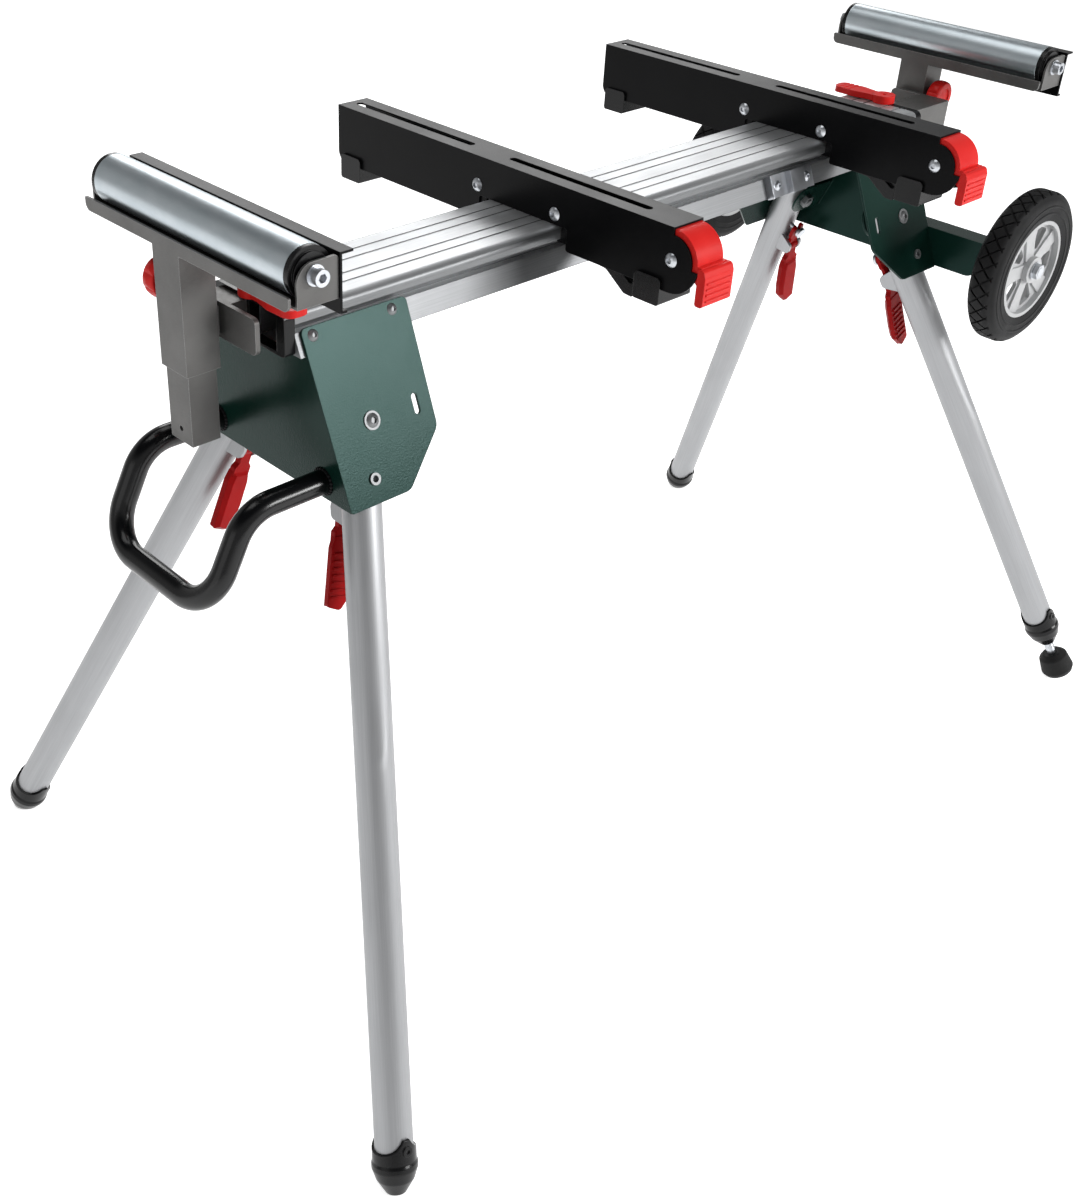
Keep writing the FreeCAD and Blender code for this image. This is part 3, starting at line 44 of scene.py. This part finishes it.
# The photograph's camera, in degrees, metres and pixels, with its sensor in millimetres
camera_yaw = 42.79
camera_pitch = 33.18
camera_roll = 1.59
camera_place = Vector((-1.2829, -1.0787, 1.3619))
focal_pixels = 1501.7
centre_pixel = (434.5, 568.5)
photo_size = (1076, 1200)
sensor_width = 36.0
nearest_seen = 0.01

# Weld beads where the handle meets its bracket, in metres
handle_radius = 0.0125
handle_half_width = 0.086
weld_bead = 0.0026
weld_ripples = 22
weld_ripple_share = 0.14
weld_points = 10
weld_steps = 240

# Moulding rings on the tyre walls, in metres
sidewall_rings = (0.0730, 0.0815)
ring_half = 0.0016
ring_rise = 0.0007
ring_foot = 0.0015
ring_arc_steps = 6
ring_steps = 120

# Thread of the levelling stem, in metres
stem_radius = 0.006
thread_pitch = 0.00175
thread_half_width = 0.45 * thread_pitch
thread_depth = 0.0006
thread_root = 0.0001
thread_start = -0.020
thread_length = 0.036
thread_steps = 28

# Leg angles in degrees, used to run the tube's drawn lines along each leg
plate_lean = 24.0
leg_leans = {"left": 15.25, "right": 17.15}

# Fixings given a rougher plating and a darker copy of the zinc, painted shade that holds down the
# lamp's reflection in their flat heads
shaded_zinc_nodes = ("leg_pivot_bolts", "lock_bushes", "bracket_screws")

# Darkest and lightest tone of the aluminium; the beam's sides get painted shade and its top a painted
# highlight
beam_painted_shade_tones = ((0.185, 0.19, 0.195), (0.235, 0.24, 0.245))
beam_painted_highlight_tones = ((0.50, 0.51, 0.52), (0.60, 0.61, 0.62))
leg_tones = ((0.355, 0.36, 0.37), (0.42, 0.425, 0.435))

# Range that most noise values keep to
noise_range = (0.3, 0.7)

# Z of a face's normal, from leaning faces to level ones, over which the painted highlight on tops
# fades in
highlight_mask_range = (0.6, 0.9)

# Cosine between the rounded and the flat normal, from plain faces to the sharpest edges, over which
# the edge tone comes in
edge_tone_range = (0.98, 0.75)

# Rounding in the shading of edges that have no radius of their own, in metres
edge_radius = 0.0006
edge_samples = 6

# Floor and room, in metres where they are sizes
floor_size = 40.0
floor_drop = 0.0005
floor_colour = (0.93, 0.93, 0.93)
floor_roughness = 0.85
floor_shine = 0.1
floor_glow = 0.82
wall_light = 0.45
wall_top = 0.44
ceiling_start = 0.72
ceiling_colour = (0.10, 0.11, 0.12)

# Softboxes: name, place, aim, width and height in metres, power in watts
softboxes = (
    ("front_softbox", (1.65, -3.35, 1.85), (0, 0, 0.6), (1.6, 1.0), 96),
    ("top_softbox", (-0.2, 0.6, 3.4), (0, 0, 0.6), (2.4, 1.6), 22),
    ("left_softbox", (-3.4, -0.2, 1.1), (0, 0, 0.5), (2.2, 1.8), 8),
    ("back_softbox", (2.4, 3.2, 2.7), (0, 0, 0.8), (3.2, 1.6), 62),
)


# Node helpers

class Paint:
    """One material and short ways to add nodes to it."""

    def __init__(self, name):
        self.material = bpy.data.materials.new(name)
        self.material.use_nodes = True
        self.tree = self.material.node_tree
        self.shader = self.tree.nodes["Principled BSDF"]

    def set(self, **values):
        for key, value in values.items():
            self.shader.inputs[key.replace("_", " ")].default_value = value

    def node(self, kind, **settings):
        made = self.tree.nodes.new(kind)
        for key, value in settings.items():
            setattr(made, key, value)
        return made

    def link(self, source, target):
        self.tree.links.new(source, target)

    def place(self, scale=(1, 1, 1), turn=(0, 0, 0)):
        coordinates = self.node("ShaderNodeTexCoord")
        mapping = self.node("ShaderNodeMapping", vector_type="TEXTURE")
        mapping.inputs["Rotation"].default_value = [math.radians(angle) for angle in turn]
        mapping.inputs["Scale"].default_value = scale
        self.link(coordinates.outputs["Object"], mapping.inputs["Vector"])
        return mapping.outputs["Vector"]

    def noise(self, place, scale, detail=3.0, roughness=0.5):
        made = self.node("ShaderNodeTexNoise")
        made.inputs["Scale"].default_value = scale
        made.inputs["Detail"].default_value = detail
        made.inputs["Roughness"].default_value = roughness
        self.link(place, made.inputs["Vector"])
        return made.outputs["Fac"]

    def cells(self, place, scale):
        made = self.node("ShaderNodeTexVoronoi")
        made.inputs["Scale"].default_value = scale
        self.link(place, made.inputs["Vector"])
        return made.outputs["Distance"]

    def ramp(self, value, tones):
        # From the first tone to the second as a noise rises
        made = self.node("ShaderNodeValToRGB")
        for stop, position, tone in zip(made.color_ramp.elements, noise_range, tones):
            stop.position = position
            stop.color = (*tone, 1)
        self.link(value, made.inputs["Fac"])
        return made.outputs["Color"]

    def stretch(self, value, source, target):
        # Takes the source range onto the target range
        made = self.node("ShaderNodeMapRange")
        names = ("From Min", "From Max", "To Min", "To Max")
        for name, number in zip(names, (*source, *target)):
            made.inputs[name].default_value = number
        self.link(value, made.inputs["Value"])
        return made.outputs["Result"]

    def flat(self, colour):
        made = self.node("ShaderNodeRGB")
        made.outputs["Color"].default_value = (*colour, 1)
        return made.outputs["Color"]

    def mix(self, amount, first, second):
        made = self.node("ShaderNodeMix", data_type="RGBA")
        self.link(amount, made.inputs["Factor"])
        self.link(first, made.inputs["A"])
        self.link(second, made.inputs["B"])
        return made.outputs["Result"]

    def highlight_mask(self):
        # Mask for the painted highlight on tops: 1 on faces that look up, 0 on upright and leaning
        # faces
        coordinates = self.node("ShaderNodeTexCoord")
        parts = self.node("ShaderNodeSeparateXYZ")
        self.link(coordinates.outputs["Normal"], parts.inputs["Vector"])
        return self.stretch(parts.outputs["Z"], highlight_mask_range, (0.0, 1.0))

    def rounded(self, radius):
        # The normal as it would be with sharp edges rounded off
        made = self.node("ShaderNodeBevel", samples=edge_samples)
        made.inputs["Radius"].default_value = radius
        return made.outputs["Normal"]

    def edges(self, radius, strength):
        # Rises to the strength along sharp edges and is 0 on flat faces
        geometry = self.node("ShaderNodeNewGeometry")
        dot = self.node("ShaderNodeVectorMath", operation="DOT_PRODUCT")
        self.link(self.rounded(radius), dot.inputs[0])
        self.link(geometry.outputs["Normal"], dot.inputs[1])
        return self.stretch(dot.outputs["Value"], edge_tone_range, (0.0, strength))

    def colour(self, socket):
        self.link(socket, self.shader.inputs["Base Color"])

    def roughness(self, value, low, high):
        socket = self.stretch(value, noise_range, (low, high))
        self.link(socket, self.shader.inputs["Roughness"])

    def relief(self, height, strength, distance, edge=edge_radius):
        bump = self.node("ShaderNodeBump")
        bump.inputs["Strength"].default_value = strength
        bump.inputs["Distance"].default_value = distance
        self.link(height, bump.inputs["Height"])
        self.link(self.rounded(edge), bump.inputs["Normal"])
        self.link(bump.outputs["Normal"], self.shader.inputs["Normal"])

    def coat(self, scale, tones, pale_edges=None):
        # Colour in soft clouds. The edge setting gives the width, strength and colour of paler sharp
        # edges
        clouds = self.noise(self.place(), scale)
        base = self.ramp(clouds, tones)
        if pale_edges:
            width, strength, edge_tone = pale_edges
            base = self.mix(self.edges(width, strength), base, self.flat(edge_tone))
        self.colour(base)
        return clouds

    def grain(self, scale, strength, distance, edge):
        # Fine even relief, as orange peel in paint or the texture of a mould
        self.relief(self.noise(self.place(), scale, detail=2.0), strength, distance, edge)


# Materials

def drawn_aluminium(name, turn, tones, highlight_tones=None):
    # Satin extrusion: fine lines run along the piece, with the top painted paler as a highlight where
    # highlight tones are given
    paint = Paint(name)
    along = paint.place(scale=(0.6, 0.004, 0.004), turn=turn)
    lines = paint.noise(along, scale=6.0, detail=4.0, roughness=0.6)
    clouds = paint.noise(paint.place(turn=turn), scale=14.0)
    base = paint.ramp(lines, tones)
    if highlight_tones:
        # Painted highlight: the paler tones go on faces that look up
        base = paint.mix(paint.highlight_mask(), base, paint.ramp(lines, highlight_tones))
    paint.colour(base)
    paint.roughness(clouds, 0.40, 0.48)
    paint.set(Metallic=0.75, Anisotropic=0.3)
    paint.relief(lines, strength=0.10, distance=0.0004)
    return paint.material


def green_paint():
    paint = Paint("green_paint")
    clouds = paint.coat(
        scale=9.0,
        tones=((0.004, 0.022, 0.016), (0.006, 0.030, 0.022)),
        pale_edges=(0.0012, 0.55, (0.10, 0.17, 0.15)),
    )
    paint.roughness(clouds, 0.22, 0.27)
    paint.set(Specular_IOR_Level=0.17, Specular_Tint=(0.62, 1.0, 0.95, 1))
    paint.grain(scale=620.0, strength=0.20, distance=0.0006, edge=0.0010)
    return paint.material


def black_paint(name, smooth, dull, shine):
    paint = Paint(name)
    clouds = paint.coat(
        scale=12.0,
        tones=((0.0025, 0.0025, 0.003), (0.005, 0.005, 0.0055)),
        pale_edges=(0.0010, 0.4, (0.07, 0.07, 0.075)),
    )
    paint.roughness(clouds, smooth, dull)
    paint.set(Specular_IOR_Level=shine)
    paint.grain(scale=800.0, strength=0.16, distance=0.0004, edge=0.0008)
    return paint.material


def grey_steel():
    # Sheet with fine level marks and bright edges
    paint = Paint("grey_steel")
    paint.coat(
        scale=20.0,
        tones=((0.115, 0.113, 0.109), (0.155, 0.152, 0.147)),
        pale_edges=(0.0010, 0.8, (0.45, 0.45, 0.45)),
    )
    marks = paint.noise(paint.place(scale=(1, 1, 0.2)), scale=240.0, roughness=0.6)
    paint.roughness(marks, 0.40, 0.52)
    paint.set(Metallic=0.5)
    paint.relief(marks, strength=0.10, distance=0.0004)
    return paint.material


def zinc(name, tones, smooth, dull):
    # Plating with a faint spangle in its relief
    paint = Paint(name)
    clouds = paint.coat(scale=60.0, tones=tones)
    paint.roughness(clouds, smooth, dull)
    paint.set(Metallic=1.0)
    spangle = paint.cells(paint.place(), scale=320.0)
    paint.relief(spangle, strength=0.02, distance=0.0004, edge=0.0004)
    return paint.material


def roller_steel():
    # Galvanised tube: faint turning lines round it and cool streaks along it
    paint = Paint("roller_steel")
    turning = paint.noise(paint.place(scale=(1, 0.06, 1)), scale=10.0, detail=2.0)
    streaks = paint.noise(paint.place(scale=(0.3, 1, 0.3)), scale=30.0)
    paint.colour(paint.ramp(streaks, ((0.50, 0.56, 0.59), (0.58, 0.63, 0.66))))
    paint.roughness(turning, 0.32, 0.36)
    paint.set(Metallic=1.0)
    paint.relief(turning, strength=0.01, distance=0.0003)
    return paint.material


def black_plastic():
    paint = Paint("black_plastic")
    clouds = paint.coat(
        scale=30.0,
        tones=((0.004, 0.004, 0.0045), (0.008, 0.008, 0.0085)),
        pale_edges=(0.0012, 0.35, (0.06, 0.06, 0.06)),
    )
    paint.roughness(clouds, 0.20, 0.28)
    paint.set(Specular_IOR_Level=0.24)
    paint.grain(scale=1400.0, strength=0.16, distance=0.0003, edge=0.0010)
    return paint.material


def red_plastic(name, tones, shine):
    paint = Paint(name)
    clouds = paint.coat(scale=24.0, tones=tones)
    paint.roughness(clouds, 0.30, 0.40)
    paint.set(Specular_IOR_Level=shine)
    paint.grain(scale=1100.0, strength=0.08, distance=0.0003, edge=0.0012)
    return paint.material


def grey_plastic():
    paint = Paint("grey_plastic")
    clouds = paint.coat(scale=26.0, tones=((0.46, 0.465, 0.47), (0.56, 0.565, 0.57)))
    paint.roughness(clouds, 0.34, 0.46)
    paint.grain(scale=900.0, strength=0.08, distance=0.0003, edge=0.0012)
    return paint.material


def rubber(name, tones):
    # Matt, with coarser grain than the plastics and a little dust
    paint = Paint(name)
    dust = paint.noise(paint.place(), scale=40.0, detail=4.0, roughness=0.6)
    paint.colour(paint.ramp(dust, tones))
    paint.roughness(dust, 0.55, 0.72)
    paint.set(Specular_IOR_Level=0.22)
    skin = paint.noise(paint.place(), scale=700.0, detail=4.0, roughness=0.6)
    paint.relief(skin, strength=0.30, distance=0.0005, edge=0.0010)
    return paint.material


def make_materials():
    # One material for each slot of the record
    bright_zinc = ((0.50, 0.52, 0.55), (0.60, 0.62, 0.65))
    bright_red = ((0.78, 0.018, 0.016), (0.86, 0.024, 0.020))
    dark_red = ((0.40, 0.006, 0.007), (0.48, 0.009, 0.009))
    foot_black = ((0.010, 0.010, 0.010), (0.018, 0.018, 0.018))
    tyre_black = ((0.005, 0.005, 0.0055), (0.010, 0.010, 0.0105))
    return {
        # Beam aluminium: painted shade on its sides and a painted highlight on its top
        "aluminium": drawn_aluminium("beam_aluminium", (0, 0, 0), beam_painted_shade_tones, beam_painted_highlight_tones),
        "green_paint": green_paint(),
        "black_paint": black_paint("black_paint", smooth=0.28, dull=0.36, shine=0.09),
        "grey_steel": grey_steel(),
        "zinc": zinc("zinc", bright_zinc, smooth=0.30, dull=0.34),
        "roller_steel": roller_steel(),
        "black_plastic": black_plastic(),
        "red_plastic": red_plastic("red_plastic", bright_red, shine=0.18),
        "dark_red_plastic": red_plastic("dark_red_plastic", dark_red, shine=0.07),
        "grey_plastic": grey_plastic(),
        "rubber": rubber("rubber", foot_black),
        "tyre": rubber("tyre", tyre_black),
    }


def dress(name, material):
    slots = nodes[name].data.materials
    slots.clear()
    slots.append(material)


def dress_nodes():
    for entry in frame["record"]["subparts"]:
        dress(entry["node"], materials[entry["material_slot"]])
    # Darker zinc for these fixings: painted shade, on a rougher plating than the other zinc
    shaded_zinc_tones = ((0.20, 0.205, 0.21), (0.27, 0.275, 0.28))
    shaded_zinc = zinc("shaded_zinc", shaded_zinc_tones, smooth=0.46, dull=0.54)
    for name in shaded_zinc_nodes:
        dress(name, shaded_zinc)
    dress("carry_handle", black_paint("glossy_black_paint", smooth=0.17, dull=0.22, shine=0.38))
    for side, lean in leg_leans.items():
        for end in ("front", "back"):
            leg = side + "_" + end + "_leg"
            dress(leg, drawn_aluminium(leg + "_aluminium", leg_turn(side, end, lean), leg_tones))


def leg_direction(side, end, lean):
    sideways = -1 if side == "left" else 1
    depth = -1 if end == "front" else 1
    tilt = math.radians(plate_lean)
    swing = math.radians(lean)
    return Vector((
        sideways * math.sin(swing),
        depth * math.cos(swing) * math.sin(tilt),
        -math.cos(swing) * math.cos(tilt),
    ))


def leg_turn(side, end, lean):
    # Euler angles that take the X axis onto the leg
    turn = leg_direction(side, end, lean).to_track_quat("X", "Z").to_euler()
    return [math.degrees(angle) for angle in turn]


# Detail pieces

def add_piece(name, verts, faces, body, slot):
    mesh = bpy.data.meshes.new(name)
    mesh.from_pydata(verts, [], faces)
    mesh.update()
    mesh.polygons.foreach_set("use_smooth", [True] * len(mesh.polygons))
    piece = bpy.data.objects.new(name, mesh)
    bpy.context.collection.objects.link(piece)
    piece.data.materials.append(materials[slot])
    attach(piece, body)


def middle_of(low, high):
    return (Vector(low) + Vector(high)) / 2


def spoke(axis, angle):
    # Unit vector square to the axis, turned round it by the angle
    first = axis.orthogonal().normalized()
    second = axis.cross(first).normalized()
    return first * math.cos(angle) + second * math.sin(angle)


def lathe(name, centre, axis, outline, steps, body, slot):
    # Closed ring: outline gives the radius and height of each of its points at an angle
    rows = []
    for i in range(steps):
        angle = 2 * math.pi * i / steps
        out = spoke(axis, angle)
        rows.append([centre + out * radius + axis * height for radius, height in outline(angle)])
    count = len(rows[0])
    faces = []
    for i in range(steps):
        here = i * count
        after = (i + 1) % steps * count
        for j in range(count):
            k = (j + 1) % count
            faces.append((here + j, here + k, after + k, after + j))
    add_piece(name, [point for row in rows for point in row], faces, body, slot)


def weld_outline(angle):
    # Bead round the handle's tube, thicker and thinner as it goes round
    ripple = 1 - weld_ripple_share + weld_ripple_share * math.sin(weld_ripples * angle)
    bead = weld_bead * ripple
    points = []
    for i in range(weld_points):
        turn = 2 * math.pi * i / weld_points
        points.append((handle_radius + bead * math.cos(turn), bead * math.sin(turn)))
    return points


def add_handle_welds():
    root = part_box("carry_handle")[1]
    for end, side in (("back", 1), ("front", -1)):
        centre = Vector((root[0], side * handle_half_width, root[2] - handle_radius))
        name = "handle_weld_" + end
        lathe(name, centre, Vector((1, 0, 0)), weld_outline, weld_steps, "frame", "black_paint")


def add_sidewall_rings():
    # Raised moulding rings on both faces of each tyre
    for end in ("front", "back"):
        low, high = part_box(end + "_wheel_tyre")
        middle = middle_of(low, high)
        half = (high[1] - low[1]) / 2
        for side in (1, -1):
            face = "outer" if side * middle.y > 0 else "inner"
            centre = middle + Vector((0, side * half, 0))
            for number, radius in enumerate(sidewall_rings):
                name = "%s_wheel_ring_%s_%d" % (end, face, number)
                add_sidewall_ring(name, centre, radius, side, end + "_wheel")


def add_sidewall_ring(name, centre, radius, side, body):
    # Low rounded ridge, its foot inside the tyre
    def outline(angle):
        points = []
        for i in range(ring_arc_steps + 1):
            turn = math.pi * i / ring_arc_steps
            points.append((radius - ring_half * math.cos(turn), side * ring_rise * math.sin(turn)))
        points.append((radius + ring_half, -side * ring_foot))
        points.append((radius - ring_half, -side * ring_foot))
        return points
    lathe(name, centre, Vector((0, 1, 0)), outline, ring_steps, body, "tyre")


def add_stem_thread():
    # Thread on the part of the levelling stem that shows, with its crest just over the rod
    along = leg_direction("right", "front", leg_leans["right"])
    low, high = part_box("levelling_stem")
    middle = middle_of(low, high)
    profile = (
        (-thread_root, -thread_half_width),
        (thread_depth, 0.0),
        (-thread_root, thread_half_width),
    )
    count = len(profile)
    turns = int(thread_length / thread_pitch)
    verts = []
    faces = []
    for i in range(turns * thread_steps + 1):
        out = spoke(along, 2 * math.pi * i / thread_steps)
        height = thread_start + thread_pitch * i / thread_steps
        for rise, shift in profile:
            verts.append(middle + out * (stem_radius + rise) + along * (height + shift))
        if i > 0:
            here = count * i
            before = here - count
            for j in range(count - 1):
                faces.append((before + j, before + j + 1, here + j + 1, here + j))
    add_piece("stem_thread", verts, faces, "levelling_foot", "zinc")


# Stage, light and camera

def seen_rays(tree):
    # 1 for the rays that show the background: straight, mirrored or through glass
    rays = tree.nodes.new("ShaderNodeLightPath")
    total = rays.outputs["Is Camera Ray"]
    for name in ("Is Glossy Ray", "Is Transmission Ray"):
        larger = tree.nodes.new("ShaderNodeMath")
        larger.operation = "MAXIMUM"
        tree.links.new(total, larger.inputs[0])
        tree.links.new(rays.outputs[name], larger.inputs[1])
        total = larger.outputs["Value"]
    return total


def add_floor():
    # Pale floor that glows for the rays that show it, so that it looks white and keeps its shadows
    bpy.ops.mesh.primitive_plane_add(size=floor_size, location=(0, 0, -floor_drop))
    floor = bpy.context.object
    floor.name = "floor"
    paint = Paint("floor")
    paint.set(Base_Color=(*floor_colour, 1), Roughness=floor_roughness, Specular_IOR_Level=floor_shine)
    plain = paint.shader.outputs["BSDF"]
    glow = paint.node("ShaderNodeEmission")
    glow.inputs["Color"].default_value = (1, 1, 1, 1)
    glow.inputs["Strength"].default_value = floor_glow
    both = paint.node("ShaderNodeAddShader")
    paint.link(plain, both.inputs[0])
    paint.link(glow.outputs["Emission"], both.inputs[1])
    choice = paint.node("ShaderNodeMixShader")
    paint.link(seen_rays(paint.tree), choice.inputs["Fac"])
    paint.link(plain, choice.inputs[1])
    paint.link(both.outputs["Shader"], choice.inputs[2])
    output = paint.tree.nodes["Material Output"]
    paint.link(choice.outputs["Shader"], output.inputs["Surface"])
    floor.data.materials.append(paint.material)


def add_world():
    # A studio with white walls and a dim ceiling
    world = bpy.data.worlds.new("studio")
    bpy.context.scene.world = world
    world.use_nodes = True
    tree = world.node_tree
    background = tree.nodes["Background"]
    place = tree.nodes.new("ShaderNodeTexCoord")
    height = tree.nodes.new("ShaderNodeSeparateXYZ")
    ramp = tree.nodes.new("ShaderNodeValToRGB")
    ramp.color_ramp.elements[0].position = wall_top
    ramp.color_ramp.elements[1].position = ceiling_start
    ramp.color_ramp.elements[0].color = (1, 1, 1, 1)
    ramp.color_ramp.elements[1].color = (*ceiling_colour, 1)
    tree.links.new(place.outputs["Generated"], height.inputs["Vector"])
    tree.links.new(height.outputs["Z"], ramp.inputs["Fac"])
    tree.links.new(ramp.outputs["Color"], background.inputs["Color"])
    background.inputs["Strength"].default_value = wall_light


def add_lamp(name, place, aim, size, power):
    lamp = bpy.data.lights.new(name, "AREA")
    lamp.shape = "RECTANGLE"
    lamp.size = size[0]
    lamp.size_y = size[1]
    lamp.energy = power
    holder = bpy.data.objects.new(name, lamp)
    bpy.context.collection.objects.link(holder)
    holder.location = place
    holder.rotation_euler = (Vector(aim) - Vector(place)).to_track_quat("-Z", "Y").to_euler()


def add_camera():
    yaw = math.radians(camera_yaw)
    pitch = math.radians(camera_pitch)
    roll = math.radians(camera_roll)
    forward = Vector((
        math.sin(yaw) * math.cos(pitch),
        math.cos(yaw) * math.cos(pitch),
        -math.sin(pitch),
    ))
    level = Vector((math.cos(yaw), -math.sin(yaw), 0))
    upright = level.cross(forward)
    right = level * math.cos(roll) + upright * math.sin(roll)
    up = upright * math.cos(roll) - level * math.sin(roll)
    longest = max(photo_size)
    lens = bpy.data.cameras.new("photo_camera")
    lens.sensor_width = sensor_width
    lens.lens = focal_pixels * sensor_width / longest
    lens.shift_x = (photo_size[0] / 2 - centre_pixel[0]) / longest
    lens.shift_y = (centre_pixel[1] - photo_size[1] / 2) / longest
    lens.clip_start = nearest_seen
    camera = bpy.data.objects.new("photo_camera", lens)
    bpy.context.collection.objects.link(camera)
    turn = Matrix((right, up, -forward)).transposed().to_4x4()
    camera.matrix_world = Matrix.Translation(camera_place) @ turn
    bpy.context.scene.camera = camera


materials = make_materials()
dress_nodes()
add_handle_welds()
add_sidewall_rings()
add_stem_thread()
add_floor()
add_world()
for softbox in softboxes:
    add_lamp(*softbox)
add_camera()
bpy.context.scene.view_settings.view_transform = "Standard"
